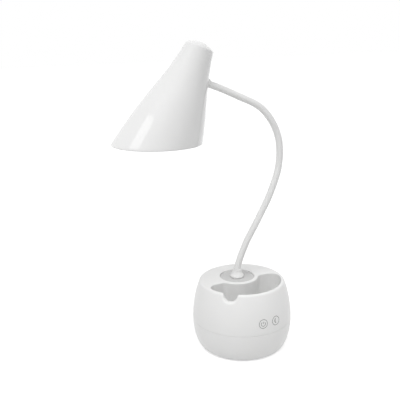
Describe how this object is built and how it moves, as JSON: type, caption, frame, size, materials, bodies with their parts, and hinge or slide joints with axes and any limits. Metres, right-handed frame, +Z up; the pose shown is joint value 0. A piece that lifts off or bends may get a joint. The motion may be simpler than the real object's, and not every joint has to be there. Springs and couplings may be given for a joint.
{
  "type": "gooseneck desk lamp",
  "caption": "White LED desk lamp: barrel base with an open kidney-shaped pen well and a night light disc, bendable gooseneck and a tilted cut-cone shade.",
  "frame": {"origin": "middle of the foot ring's underside, where the base stands on the table", "axes": "+Z up along the barrel's axis; the front, with the pen well and the touch keys, faces -Y; the head hangs over -X"},
  "size_m": [0.1994, 0.1399, 0.3598],
  "materials": {
    "white_shell": "smooth moulded white",
    "white_shade": "glossy moulded white",
    "white_inner": "matte moulded white",
    "frosted": "frosted, lets light through",
    "sleeve": "smooth white silicone",
    "foot_rubber": "matte grey rubber",
    "steel": "zinc plated",
    "ballast": "plain sheet steel",
    "board_green": "solder mask",
    "board_white": "white solder mask",
    "chip_black": "moulded black",
    "led": "phosphor over a white cup",
    "cell_wrap": "shrink wrapped cell",
    "tabs": "nickel plated",
    "lead_red": "wire insulation",
    "lead_white": "wire insulation",
    "pad_foam": "conductive foam"
  },
  "bodies": {
    "base": {"upper_housing": "white_shell", "pen_cup": "white_shell", "lower_housing": "white_shell", "foot_ring": "foot_rubber", "housing_screws": "steel", "ballast_plate": "ballast", "ballast_screws": "steel", "battery_cell": "cell_wrap", "battery_cradle": "white_inner", "battery_tabs": "tabs", "battery_leads": "lead_red", "main_board": "board_green", "board_chips": "chip_black", "board_screws": "steel", "charge_socket": "steel", "touch_board": "board_green", "touch_pads": "pad_foam", "touch_lead": "lead_white", "night_light_lens": "frosted", "night_light_board": "board_white", "night_light_leds": "led", "neck_fitting": "steel", "neck_washer": "steel", "neck_nut": "steel", "neck_collar": "white_shell", "neck_leads": "lead_white", "neck_core_1": "steel", "neck_sleeve_1": "sleeve"},
    "neck_link_2": {"neck_core_2": "steel", "neck_sleeve_2": "sleeve"},
    "neck_link_3": {"neck_core_3": "steel", "neck_sleeve_3": "sleeve"},
    "neck_link_4": {"neck_core_4": "steel", "neck_sleeve_4": "sleeve"},
    "neck_link_5": {"neck_core_5": "steel", "neck_sleeve_5": "sleeve"},
    "neck_link_6": {"neck_core_6": "steel", "neck_sleeve_6": "sleeve"},
    "neck_link_7": {"neck_core_7": "steel", "neck_sleeve_7": "sleeve"},
    "head": {"shade": "white_shade", "head_collar": "white_shell", "head_fitting": "steel", "head_nut": "steel", "led_carrier": "white_inner", "carrier_screws": "steel", "led_board": "board_white", "led_chips": "led", "diffuser": "frosted", "diffuser_ring": "white_inner", "head_leads": "lead_white", "neck_core_8": "steel", "neck_sleeve_8": "sleeve"}
  },
  "joints": [
    {"name": "neck_lower_bend", "type": "hinge", "parent": "base", "child": "neck_link_2", "pos_m": [0.00931, 0.00868, 0.11973], "axis": [0.2419, 0.9703, 0], "range_deg": [-12, 15]},
    {"name": "neck_side_bend", "type": "hinge", "parent": "neck_link_2", "child": "neck_link_3", "pos_m": [0.02492, 0.00479, 0.15138], "axis": [0.863, -0.2152, -0.4571], "range_deg": [-15, 15]},
    {"name": "neck_lower_bend_2", "type": "hinge", "parent": "neck_link_3", "child": "neck_link_4", "pos_m": [0.03975, 0.00109, 0.1834], "axis": [0.2419, 0.9703, 0], "range_deg": [-12, 15]},
    {"name": "neck_upper_bend", "type": "hinge", "parent": "neck_link_4", "child": "neck_link_5", "pos_m": [0.04939, -0.00131, 0.21734], "axis": [0.2419, 0.9703, 0], "range_deg": [-15, 15]},
    {"name": "neck_upper_bend_2", "type": "hinge", "parent": "neck_link_5", "child": "neck_link_6", "pos_m": [0.04723, -0.00077, 0.25248], "axis": [0.2419, 0.9703, 0], "range_deg": [-15, 15]},
    {"name": "neck_side_bend_2", "type": "hinge", "parent": "neck_link_6", "child": "neck_link_7", "pos_m": [0.02959, 0.00362, 0.28209], "axis": [0.6276, -0.1565, 0.7627], "range_deg": [-15, 15]},
    {"name": "neck_upper_bend_3", "type": "hinge", "parent": "neck_link_7", "child": "head", "pos_m": [-0.00039, 0.0111, 0.2991], "axis": [0.2419, 0.9703, 0], "range_deg": [-15, 15]}
  ],
  "couplings": [
    {"joint": "neck_lower_bend_2", "follows": "neck_lower_bend", "ratio": 1},
    {"joint": "neck_upper_bend_2", "follows": "neck_upper_bend", "ratio": 1},
    {"joint": "neck_upper_bend_3", "follows": "neck_upper_bend", "ratio": 1},
    {"joint": "neck_side_bend_2", "follows": "neck_side_bend", "ratio": 1}
  ]
}
